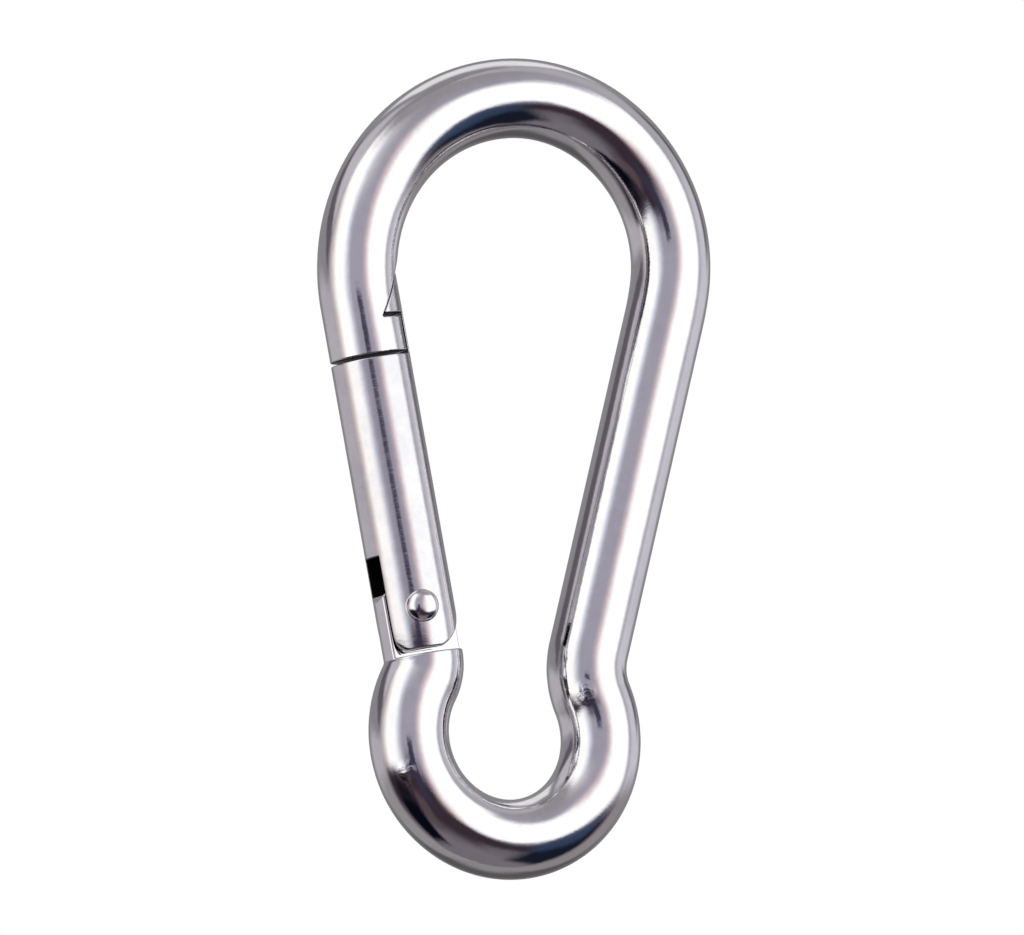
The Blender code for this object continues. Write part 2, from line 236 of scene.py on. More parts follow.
barb_top_h = BLOCK_TOP_H + LATCH_GAP + (GATE_FLAT_U - BARB_TIP_U) / SLOPE
sweep_u = math.sqrt(CHEEK_SWEEP_R ** 2 - CHEEK_FOOT_H ** 2)
flat_off = GATE_FLAT_U - RIVET_U
sweep_0 = math.atan2(CHEEK_FOOT_H, sweep_u)
sweep_1 = math.atan2(-math.sqrt(CHEEK_SWEEP_R ** 2 - flat_off ** 2), flat_off)
GATE = [(-0.70, GATE_END_H), (-0.70, CHEEK_FOOT_H + 0.40), (-0.5, CHEEK_FOOT_H + 0.40)]
GATE += [(-0.5 + 0.20 - 0.20 * math.cos(math.radians(7.5 * i)),
          CHEEK_FOOT_H + 0.40 - 0.40 * math.sin(math.radians(7.5 * i)))
         for i in range(1, 13)]
GATE += [(RIVET_U + CHEEK_SWEEP_R * math.cos(sweep_0 + (sweep_1 - sweep_0) * i / 18),
          CHEEK_SWEEP_R * math.sin(sweep_0 + (sweep_1 - sweep_0) * i / 18))
         for i in range(19)]
closer = 0.020                      # the barb's slope all but touches the nose
GATE += [q for q in round_corners([
    (GATE_FLAT_U, 1.0, 0), (GATE_FLAT_U, barb_top_h + 0.4 * closer, 0.02),
    (BARB_TIP_U - closer, BLOCK_TOP_H + LATCH_GAP, 0.008),
    (ARM_U, BLOCK_TOP_H + LATCH_GAP, 0.01), (ARM_U, GATE_END_H, 0.012),
    (-0.7, GATE_END_H, 0)])][:-1]


def gate_shape(u, y, h):
    roll = np.clip((-0.10 - h) / 0.44, 0.0, 1.0)
    bar = np.sqrt(u * u + y * y) - 0.5 + 0.030 * roll * roll
    outline = sd_poly(u, h, GATE)
    edge = 0.012 + 0.022 * ease(-0.30, -0.45, h)
    d = both(bar, outline, edge)
    slot = np.maximum(np.abs(y) - SLOT_HALF, h - SLOT_TOP_H)
    d = both(d, -slot, 0.016)
    rho = np.sqrt(u * u + y * y)
    bore = np.maximum(np.maximum(rho - BORE_R, 0.45 - h),
                      h - BORE_TIP_H + rho * (BORE_TIP_H - BORE_TOP_H) / BORE_R)
    d = np.maximum(d, -bore)
    hole = HOLE_R - np.sqrt((u - RIVET_U) ** 2 + h * h)
    return np.maximum(d, hole)


# ------------------------------------------------------------ skin of a shape
def skin(values):
    """Dual mesh of the zero surface of a block of values: grid places, quads."""
    neg = values < 0.0
    n = tuple(s - 1 for s in values.shape)
    total = np.zeros(n, np.int8)
    for a in (0, 1):
        for b in (0, 1):
            for c in (0, 1):
                total += neg[a:a + n[0], b:b + n[1], c:c + n[2]]
    active = (total > 0) & (total < 8)
    number = np.full(n, -1, np.int64)
    cells = np.stack(np.nonzero(active), axis=1)
    number[active] = np.arange(len(cells))
    place = np.zeros((len(cells), 3))
    count = np.zeros(len(cells))
    for axis in range(3):
        for a in (0, 1):
            for b in (0, 1):
                off = np.zeros(3, np.int64)
                off[(axis + 1) % 3], off[(axis + 2) % 3] = a, b
                c0 = cells + off
                off[axis] = 1
                c1 = cells + off
                f0 = values[c0[:, 0], c0[:, 1], c0[:, 2]]
                f1 = values[c1[:, 0], c1[:, 1], c1[:, 2]]
                hit = (f0 < 0.0) != (f1 < 0.0)
                share = np.where(hit, f0 / np.where(hit, f0 - f1, 1.0), 0.0)
                at = (c0 - cells).astype(float)
                at[:, axis] += share
                place[hit] += at[hit]
                count += hit
    place = cells + place / count[:, None]
    quads = []
    for axis in range(3):
        j, k = (axis + 1) % 3, (axis + 2) % 3
        lo = [slice(None)] * 3
        hi = [slice(None)] * 3
        lo[axis], hi[axis] = slice(0, -1), slice(1, None)
        first = neg[tuple(lo)]
        cross = first != neg[tuple(hi)]
        e = np.stack(np.nonzero(cross), axis=1)
        e = e[(e[:, j] > 0) & (e[:, k] > 0) & (e[:, j] < n[j]) & (e[:, k] < n[k])]
        up = first[e[:, 0], e[:, 1], e[:, 2]]
        corners = []
        for dj, dk in ((-1, -1), (0, -1), (0, 0), (-1, 0)):
            c = e.copy()
            c[:, j] += dj
            c[:, k] += dk
            corners.append(number[c[:, 0], c[:, 1], c[:, 2]])
        q = np.stack(corners, axis=1)
        q[~up] = q[~up][:, ::-1]
        quads.append(q)
    return place, np.concatenate(quads), cells


def slope_of(shape, p, step=0.004):
    g = np.zeros_like(p)
    for axis in range(3):
        a, b = p.copy(), p.copy()
        a[:, axis] += step
        b[:, axis] -= step
        g[:, axis] = (shape(a[:, 0], a[:, 1], a[:, 2])
                      - shape(b[:, 0], b[:, 1], b[:, 2])) / (2.0 * step)
    return g


def settle(shape, p, rounds=3):
    """Move points onto the surface, and give the surface normals there."""
    for _ in range(rounds):
        g = slope_of(shape, p, 0.002)
        f = shape(p[:, 0], p[:, 1], p[:, 2])
        size = np.maximum((g * g).sum(1), 0.2)
        p = p - np.clip(f / size, -0.02, 0.02)[:, None] * g
    g = slope_of(shape, p)
    return p, g / np.maximum(np.linalg.norm(g, axis=1), 1e-9)[:, None]


def facing(points, faces, normals):
    """True if the faces look the way the normals do."""
    a, b, c = (points[faces[:, i]] for i in (0, 1, 2))
    return (np.cross(b - a, c - a) * normals[faces[:, 0]]).sum() > 0.0


def build(name, points, normals, faces, straight, coarse=None):
    """Mesh object in the row's frame, with given normals and a straight-bar
    coordinate that the materials run along."""
    mesh = bpy.data.meshes.new(name)
    mesh.from_pydata(points.tolist(), [], [tuple(int(i) for i in f) for f in faces])
    mesh.validate(clean_customdata=False)
    mesh.update()
    attribute = mesh.attributes.new("straight", 'FLOAT_VECTOR', 'POINT')
    attribute.data.foreach_set("vector", np.asarray(straight, np.float32).ravel())
    mesh.shade_smooth()
    if normals is not None:
        mesh.normals_split_custom_set_from_vertices(normals.tolist())
    ob = bpy.data.objects.new(name, mesh)
    bpy.context.scene.collection.objects.link(ob)
    return ob


def axis_steps(*runs):
    """Grid positions through several runs of (start, end, pitch)."""
    out = []
    for a, b, pitch in runs:
        n = max(1, int(round(abs(b - a) / pitch)))
        out += [a + (b - a) * i / n for i in range(n)]
    out.append(runs[-1][1])
    return np.array(out)


FINE = 0.0125
BLOCK = FINE * 1.12


# ------------------------------------------------------------------- the gate
def make_gate():
    h = axis_steps((-0.60, 0.85, FINE), (0.85, 2.98, 0.08), (2.98, 4.24, FINE))
    u = axis_steps((-0.54, 0.54, FINE))
    y = axis_steps((-0.54 + 0.0013, 0.54 + 0.0013, FINE))
    values = gate_shape(u[:, None, None], y[None, :, None], h[None, None, :])
    place, quads, _ = skin(values)
    p = np.stack([np.interp(place[:, 0], np.arange(len(u)), u),
                  np.interp(place[:, 1], np.arange(len(y)), y),
                  np.interp(place[:, 2], np.arange(len(h)), h)], axis=1)
    p, nrm = settle(gate_shape, p)
    world = to_world(p[:, 0], p[:, 1], p[:, 2])
    wn = turn_to_world(nrm)
    if not facing(world, quads, wn):
        quads = quads[:, ::-1]
    straight = np.stack([p[:, 2], p[:, 0], p[:, 1]], axis=1) * D
    return build("gate_bar", world, wn, quads, straight)


# ------------------------------------------------------------------- the body
SIDES = 96
NOSE_TURN = math.radians(25.0)      # how far the nose block runs into the bow
TANG_TURN = math.radians(33.0)      # and the tang block into the neck


def nose_place(s, p):
    """(s, p) along and across the bar, from the nose end up, to (u, h)."""
    turn = np.maximum(s - RIVET_T, 0.0) / R_BOW_GATE
    return (np.where(s < RIVET_T, p, R_BOW_GATE - (R_BOW_GATE - p) * np.cos(turn)),
            np.where(s < RIVET_T, s, RIVET_T + (R_BOW_GATE - p) * np.sin(turn)))


def tang_place(s, p):
    """The same from the tang's end down, where s falls with h."""
    turn = np.maximum(BEND_H - s, 0.0) / R_NECK_GATE
    return (np.where(s > BEND_H, p, -R_NECK_GATE + (R_NECK_GATE + p) * np.cos(turn)),
            np.where(s > BEND_H, s, BEND_H - (R_NECK_GATE + p) * np.sin(turn)))


def block_of_bar(shape, place_of, s, s_end, turn_end, flip):
    """Skin of one worked end of the bar. Returns its points, normals, quads,
    straight coordinates and the ring where the plain bar takes over."""
    p = axis_steps((-0.54, 0.54, BLOCK))
    q = axis_steps((-0.54 + 0.0013, 0.54 + 0.0013, BLOCK))
    gu, gh = place_of(s[:, None], p[None, :])
    values = shape(gu[:, :, None], q[None, None, :], gh[:, :, None])
    place, quads, cells = skin(values)
    vs = np.interp(place[:, 0], np.arange(len(s)), s)
    vp = np.interp(place[:, 1], np.arange(len(p)), p)
    vq = np.interp(place[:, 2], np.arange(len(q)), q)
    u, h = place_of(vs, vp)
    pts = np.stack([u, vq, h], axis=1)
    pts, nrm = settle(shape, pts)
    ring = np.nonzero(cells[:, 0] == len(s) - 2)[0]
    angle = np.arctan2(vq[ring], vp[ring])
    ru, rh = place_of(np.full(len(ring), s_end), 0.5 * np.cos(angle))
    pts[ring] = np.stack([ru, 0.5 * np.sin(angle), rh], axis=1)
    # the ring's normals are the plain bar's
    ca, sa = math.cos(turn_end), math.sin(turn_end)
    nrm[ring] = np.stack([np.cos(angle) * ca, np.sin(angle),
                          flip * np.cos(angle) * sa], axis=1)
    order = np.argsort(angle)
    return pts, nrm, quads, np.stack([vs, vp, vq], axis=1), ring[order], angle[order]


def bar_run():
    """Places along the plain bar, from the nose block to the tang block:
    (x, z), the unit travel direction and the length so far, in bars."""
    step = math.radians(2.0)

    def sweep(centre, r, a0, a1):
        n = max(2, int(math.ceil(abs(a1 - a0) / min(step, 0.09 / r))))
        way = 1.0 if a1 > a0 else -1.0
        for i in range(n + 1):
            a = a0 + (a1 - a0) * i / n
            yield ((centre[0] + r * math.cos(a), centre[1] + r * math.sin(a)),
                   (-way * math.sin(a), way * math.cos(a)))

    def short(a0, a1):
        return a0 + (a1 - a0 + math.pi) % (2.0 * math.pi) - math.pi

    def angle_from(c, p):
        return math.atan2(p[1] - c[1], p[0] - c[0])

    rows = list(sweep(gate_c, R_BOW_GATE, math.pi + LEAN - NOSE_TURN, SPLIT))
    rows += list(sweep((0.0, 0.0), R_BOW_SPINE, SPLIT, -START_S))[1:]
    rows += list(sweep(sh_c, R_SHOULDER, -START_S, -LEAN_S))[1:]
    n = int(spine_len / 0.10)
    rows += [((spine_start[0] + spine_dir[0] * spine_len * i / n,
               spine_start[1] + spine_dir[1] * spine_len * i / n), spine_dir)
             for i in range(1, n)]
    a0 = angle_from(neck_s, neck_s_start)
    rows += list(sweep(neck_s, R_NECK_SPINE, a0,
                       short(a0, angle_from(neck_s, neck_s_end))))
    a0 = angle_from((0.0, EYE_Z), neck_s_end)
    a1 = angle_from((0.0, EYE_Z), neck_g_end)
    while a1 > a0:
        a1 -= 2.0 * math.pi
    rows += list(sweep((0.0, EYE_Z), R_EYE, a0, a1))[1:]
    a0 = angle_from(neck_g, neck_g_end)
    a1 = short(a0, angle_from(neck_g, neck_g_start))
    way = 1.0 if a1 > a0 else -1.0
    rows += list(sweep(neck_g, R_NECK_GATE, a0, a1 - way * TANG_TURN))[1:]
    xy = np.array([r[0] for r in rows])
    tan = np.array([r[1] for r in rows])
    run = np.concatenate([[0.0], np.cumsum(np.linalg.norm(np.diff(xy, axis=0), axis=1))])
    return xy, tan, run


def press_marks(run, theta):
    """Small folds that the bending press leaves in the two necks, in bars,
    with their slopes along and around the bar."""
    total = run[-1]
    s_spine = marks_at["spine"]
    s_gate = total - 0.02
    out = np.zeros(np.broadcast(run, theta).shape)
    along = np.zeros_like(out)
    for s0, wide, pitch, high, th0 in (
            (s_spine, 0.26, 0.22, 0.0010, 0.9), (s_spine + 0.35, 0.20, 0.16, 0.0006, -2.0),
            (s_spine + 0.9, 0.28, 0.24, 0.0006, 2.4), (s_gate - 0.9, 0.22, 0.20, 0.0006, 2.2)):
        bell = np.exp(-((run - s0) / wide) ** 2)
        side = (0.5 + 0.5 * np.cos(theta - th0)) ** 2
        wave = np.cos(2.0 * math.pi * (run - s0) / pitch + 1.3 * np.sin(theta))
        out += high * bell * side * wave
        along += high * side * bell * (
            -2.0 * (run - s0) / wide ** 2 * wave
            - 2.0 * math.pi / pitch * np.sin(2.0 * math.pi * (run - s0) / pitch
                                             + 1.3 * np.sin(theta)))
    gate_fade = ease(total - 0.02, total - 0.35, run)
    return out * gate_fade, along * gate_fade


marks_at = {}


def zip_rings(a, angle_a, b, angle_b):
    """Triangles between two closed rings, each in order of angle."""
    tris = []
    i = j = 0
    na, nb = len(a), len(b)
    fa = np.append(angle_a, angle_a[0] + 2.0 * math.pi)
    fb = np.append(angle_b, angle_b[0] + 2.0 * math.pi)
    while i < na or j < nb:
        take_a = j >= nb or (i < na and fa[i + 1] <= fb[j + 1])
        if take_a:
            tris.append((a[i], a[(i + 1) % na], b[j % nb]))
            i += 1
        else:
            tris.append((a[i % na], b[(j + 1) % nb], b[j]))
            j += 1
    return np.array(tris)


def make_body():
    # nose block, from its end up into the bow
    s_end = RIVET_T + NOSE_TURN * R_BOW_GATE
    s = axis_steps((3.16, s_end + BLOCK * 0.5, BLOCK))
    n_pts, n_nrm, n_quads, n_str, n_ring, n_ang = block_of_bar(
        nose_shape, nose_place, s, s_end, NOSE_TURN, -1.0)
    # tang block, from its end down into the neck
    t_end = BEND_H - TANG_TURN * R_NECK_GATE
    s = axis_steps((0.33, t_end - BLOCK * 0.5, BLOCK))
    t_pts, t_nrm, t_quads, t_str, t_ring, t_ang = block_of_bar(
        tang_shape, tang_place, s, t_end, TANG_TURN, -1.0)
    # plain bar between them
    xy, tan, run = bar_run()
    marks_at["spine"] = float(run[np.argmin(
        np.hypot(xy[:, 0] - neck_s_start[0], xy[:, 1] - neck_s_start[1]))]) + 0.25
    theta = -math.pi + 2.0 * math.pi * np.arange(SIDES) / SIDES
    inward = np.stack([tan[:, 1], -tan[:, 0]], axis=1)
    bump, along = press_marks(run[:, None], theta[None, :])
    radius = 0.5 + bump
    c, sn = np.cos(theta)[None, :], np.sin(theta)[None, :]
    x = xy[:, 0, None] + radius * c * inward[:, 0, None]
    z = xy[:, 1, None] + radius * c * inward[:, 1, None]
    y = radius * sn
    ring_pts = np.stack([x * D, y * D, (z - APEX) * D], axis=-1).reshape(-1, 3)
    nx = c * inward[:, 0, None] - along * tan[:, 0, None]
    nz = c * inward[:, 1, None] - along * tan[:, 1, None]
    ring_nrm = np.stack([nx, sn + 0.0 * nx, nz], axis=-1).reshape(-1, 3)
    ring_nrm /= np.linalg.norm(ring_nrm, axis=1)[:, None]
    ring_str = np.stack([(s_end + run[:, None]) + 0.0 * c, 0.5 * c + 0.0 * run[:, None],
                         0.5 * sn + 0.0 * run[:, None]], axis=-1).reshape(-1, 3)
    rows = len(run)
    # the first and last rows are the blocks' own rings, so they are left out
    first, last = 1, rows - 2
    grid = np.arange(rows * SIDES).reshape(rows, SIDES)
    a = grid[first:last, :]
    b = grid[first + 1:last + 1, :]
    quads = np.stack([a, np.roll(a, -1, axis=1), np.roll(b, -1, axis=1), b],
                     axis=-1).reshape(-1, 4)
    # one mesh
    n0 = len(n_pts)
    t0 = n0 + len(t_pts)
    total_str = s_end + run[-1]
    pts = np.concatenate([to_world(n_pts[:, 0], n_pts[:, 1], n_pts[:, 2]),
                          to_world(t_pts[:, 0], t_pts[:, 1], t_pts[:, 2]), ring_pts])
    nrm = np.concatenate([turn_to_world(n_nrm), turn_to_world(t_nrm), ring_nrm])
    t_str[:, 0] = total_str + (t_str[:, 0] - t_end)
    straight = np.concatenate([n_str, t_str, ring_str]) * D
    if not facing(pts, n_quads, nrm):
        n_quads = n_quads[:, ::-1]
    t_quads = t_quads + n0
    if not facing(pts, t_quads, nrm):
        t_quads = t_quads[:, ::-1]
    quads = quads + t0
    if not facing(pts, quads, nrm):
        quads = quads[:, ::-1]
    z0 = zip_rings(n_ring, n_ang, grid[first] + t0, theta)
    z1 = zip_rings(t_ring + n0, t_ang, grid[last] + t0, theta)
    faces = [n_quads, t_quads, quads]
    for z in (z0, z1):
        if not facing(pts, z, nrm):
            z = z[:, ::-1]
        faces.append(z)
    flat = [tuple(f) for group in faces for f in group.tolist()]
    # leave out the two unused rows
    used = np.zeros(len(pts), bool)
    for group in faces:
        used[group.ravel()] = True
    renumber = np.cumsum(used) - 1
    flat = [tuple(int(renumber[i]) for i in f) for f in flat]
    return build("body_bar", pts[used], nrm[used], flat, straight[used])


# ------------------------------------------------- rivet, plunger and spring
def rings_mesh(name, rows, close=True):
    """Closed mesh from rows of points, each row a ring; the first and last
    rows may be single points."""
    pts, faces, starts = [], [], []
    for row in rows:
        starts.append((len(pts), len(row)))
        pts += row
    for (a, na), (b, nb) in zip(starts, starts[1:]):
        n = max(na, nb)
        for i in range(n):
            j = (i + 1) % n
            if na == 1:
                faces.append((a, b + i, b + j))
            elif nb == 1:
                faces.append((a + i, b, a + j))
            else:
                faces.append((a + i, b + i, b + j, a + j))
    return np.array(pts, float), faces


def make_rivet():
    sides = 72

    def cheek(u):
        return math.sqrt(max(0.25 - u * u, 0.0))

    def row(r, rise, below=None):
        out = []
        for i in range(sides):
            a = 2.0 * math.pi * i / sides
            u, h = RIVET_U + r * math.cos(a), r * math.sin(a)
            y = cheek(u) * 0.55 + cheek(RIVET_U) * 0.45 + rise if below is None else below
            out.append((u, y, h))
        return out

    half = []
    for i in range(1, 25):
        k = i / 24.0
        r = HEAD_R * math.sin(k * math.pi / 2.0)
        rise = (HEAD_RISE - 0.012) * max(1.0 - (r / HEAD_R) ** 3.2, 0.0) ** 0.60 + 0.008
        half.append(row(r, rise))
    half.append(row(HEAD_R * 0.995, -0.01))
    half.append(row(HEAD_R * 0.97, -0.06))
    half.append(row(SHANK_R, 0.0, below=0.34))
    top = [(RIVET_U, cheek(RIVET_U) + HEAD_RISE - 0.004, 0.0)]
    front = [[(u, y, h) for u, y, h in r] for r in half]
    back = [[(u, -y, h) for u, y, h in r] for r in reversed(half)]
    rows = [top] + front + back + [[(RIVET_U, -top[0][1], 0.0)]]
    pts, faces = rings_mesh("rivet", rows)
    world = to_world(pts[:, 0], pts[:, 1], pts[:, 2])
    straight = np.stack([pts[:, 1], pts[:, 0] - RIVET_U, pts[:, 2]], axis=1) * D
    centre = to_world(np.array([RIVET_U]), np.array([0.0]), np.array([0.0]))
    return outward(build("rivet_pin", world, None, faces, straight), centre[0])


def outward(ob, centre):
    """Turns a closed mesh's faces outwards."""
    import bmesh
    bm = bmesh.new()
    bm.from_mesh(ob.data)
    bmesh.ops.recalc_face_normals(bm, faces=bm.faces)
    bm.to_mesh(ob.data)
    bm.free()
    return ob


def lathe(name, profile, sides=64):
    rows = []
    for r, h in profile:
        if r < 1e-6:
            rows.append([(0.0, 0.0, h)])
        else:
            rows.append([(r * math.cos(2.0 * math.pi * i / sides),
                          r * math.sin(2.0 * math.pi * i / sides), h)
                         for i in range(sides)])
    pts, faces = rings_mesh(name, rows)
    world = to_world(pts[:, 0], pts[:, 1], pts[:, 2])
    straight = np.stack([pts[:, 2], pts[:, 0], pts[:, 1]], axis=1) * D
    return outward(build(name, world, None, faces, straight), None)


def make_plunger():
    e = 0.012
    prof = [(0.0, SPIGOT_TOP_H), (SPIGOT_R - e, SPIGOT_TOP_H), (SPIGOT_R - e * 0.3, SPIGOT_TOP_H - e * 0.3),
            (SPIGOT_R, SPIGOT_TOP_H - e), (SPIGOT_R, PLUNGER_SHOULDER_H + 0.002),
            (SPIGOT_R + 0.004, PLUNGER_SHOULDER_H), (PLUNGER_R - e, PLUNGER_SHOULDER_H),
            (PLUNGER_R - e * 0.3, PLUNGER_SHOULDER_H - e * 0.3), (PLUNGER_R, PLUNGER_SHOULDER_H - e)]
    prof += [(PLUNGER_R, PLUNGER_SHOULDER_H - (PLUNGER_SHOULDER_H - 0.43) * k / 8) for k in range(1, 9)]
    prof += [(PLUNGER_R * math.cos(math.radians(6.0 * i)),
              PLUNGER_TIP_H + PLUNGER_R * (1.0 - math.sin(math.radians(6.0 * i))))
             for i in range(0, 15)]
    prof += [(0.0, PLUNGER_TIP_H)]
    return lathe("plunger_pin", prof)


def make_spring():
    per_turn, ring = 36, 14
    total = COIL_TURNS * per_turn
    closed = 2.0 * WIRE_R * 1.12
    span = COIL_HIGH_H - COIL_LOW_H
    free = (span - 2.0 * closed) / (COIL_TURNS - 2)
    rows = []
    for i in range(total + 1):
        turn = i / per_turn
        if turn < 1.0:
            z, rate = closed * turn, closed
        elif turn > COIL_TURNS - 1.0:
            z, rate = span - closed * (COIL_TURNS - turn), closed
        else:
            z, rate = closed + free * (turn - 1.0), free
        a = 2.0 * math.pi * turn
        c = Vector((COIL_R * math.cos(a), COIL_R * math.sin(a), COIL_LOW_H + z))
        t = Vector((-COIL_R * math.sin(a), COIL_R * math.cos(a), rate / (2.0 * math.pi))).normalized()
        out = Vector((math.cos(a), math.sin(a), 0.0))
        up = t.cross(out).normalized()
        r = WIRE_R
        rows.append([tuple(c + out * (r * math.cos(b)) + up * (r * math.sin(b)))
                     for b in (2.0 * math.pi * k / ring for k in range(ring))])
    rows = [[tuple(sum((Vector(p) for p in rows[0]), Vector()) / ring)]] + rows + [
        [tuple(sum((Vector(p) for p in rows[-1]), Vector()) / ring)]]
    pts, faces = rings_mesh("spring", rows)
    world = to_world(pts[:, 0], pts[:, 1], pts[:, 2])
    straight = np.stack([pts[:, 2], pts[:, 0], pts[:, 1]], axis=1) * D
    return outward(build("coil_spring", world, None, faces, straight), None)


# ------------------------------------------------------------------- materials
class Wire:
    """Writes shader arithmetic as node links."""

    def __init__(self, tree, socket):
        self.tree, self.socket = tree, socket

    def _math(self, op, other=None, third=None):
        node = self.tree.nodes.new("ShaderNodeMath")
        node.operation = op
        for i, v in enumerate((self, other, third)):
            if v is None:
                continue
            if isinstance(v, Wire):
                self.tree.links.new(v.socket, node.inputs[i])
            else:
                node.inputs[i].default_value = float(v)
        return Wire(self.tree, node.outputs[0])

    def __add__(self, o): return self._math('ADD', o)
    def __sub__(self, o): return self._math('SUBTRACT', o)
    def __mul__(self, o): return self._math('MULTIPLY', o)
    def absolute(self): return self._math('ABSOLUTE')
    def low(self, o): return self._math('MINIMUM', o)
    def high(self, o): return self._math('MAXIMUM', o)
    def power(self, o): return self._math('POWER', o)

    def step(self, a, b, to0=0.0, to1=1.0):
        """Smooth step of this value from a to b."""
        node = self.tree.nodes.new("ShaderNodeMapRange")
        node.interpolation_type = 'SMOOTHSTEP'
        self.tree.links.new(self.socket, node.inputs["Value"])
        flip = a > b
        node.inputs["From Min"].default_value = min(a, b)
        node.inputs["From Max"].default_value = max(a, b)
        node.inputs["To Min"].default_value = to1 if flip else to0
        node.inputs["To Max"].default_value = to0 if flip else to1
        return Wire(self.tree, node.outputs["Result"])


def noise(tree, vector, scale, detail=2.0, rough=0.5, distort=0.0):
    node = tree.nodes.new("ShaderNodeTexNoise")
    node.inputs["Scale"].default_value = scale
    node.inputs["Detail"].default_value = detail
    node.inputs["Roughness"].default_value = rough
    node.inputs["Distortion"].default_value = distort
    tree.links.new(vector, node.inputs["Vector"])
    return Wire(tree, node.outputs["Fac"])


def stretched(tree, vector, scale):
    node = tree.nodes.new("ShaderNodeMapping")
    node.inputs["Scale"].default_value = scale
    tree.links.new(vector, node.inputs["Vector"])
    return node.outputs["Vector"]


def mixed(tree, fac, a, b):
    node = tree.nodes.new("ShaderNodeMix")
    node.data_type = 'RGBA'
    for key, v in ((0, fac), (6, a), (7, b)):
        if isinstance(v, Wire):
            tree.links.new(v.socket, node.inputs[key])
        elif isinstance(v, (tuple, list)):
            node.inputs[key].default_value = (*v, 1.0)
        else:
            node.inputs[key].default_value = v
    return Wire(tree, node.outputs[2])


def inside(value, a0, a1, b1, b0):
    """1 between a1 and b1, falling to 0 at a0 and b0."""
    return value.step(a0, a1) * value.step(b0, b1)


def fold_spots():
    """Where the bending press has crumpled the skin of the bar, in straight
    coordinates: along, across (towards the loop) and deep, in bars."""
    xy, _, run = bar_run()
    s0 = RIVET_T + NOSE_TURN * R_BOW_GATE

    def at(x, z):
        return s0 + float(run[np.argmin(np.hypot(xy[:, 0] - x, xy[:, 1] - z))])

    shoulder = s0 + float(run[-1]) + SHOULDER_H - 0.05 - (BEND_H - TANG_TURN * R_NECK_GATE)
    return ((at(*neck_s_start) + 0.52, 0.26, -0.43, 0.15),
            (at(-1.205, EYE_Z - 0.50), -0.30, -0.40, 0.13),
            (shoulder, -0.40, -0.28, 0.19),
            (shoulder - 0.02, -0.38, 0.30, 0.17),
            (at(*neck_s_start) + 0.30, 0.36, 0.33, 0.15))


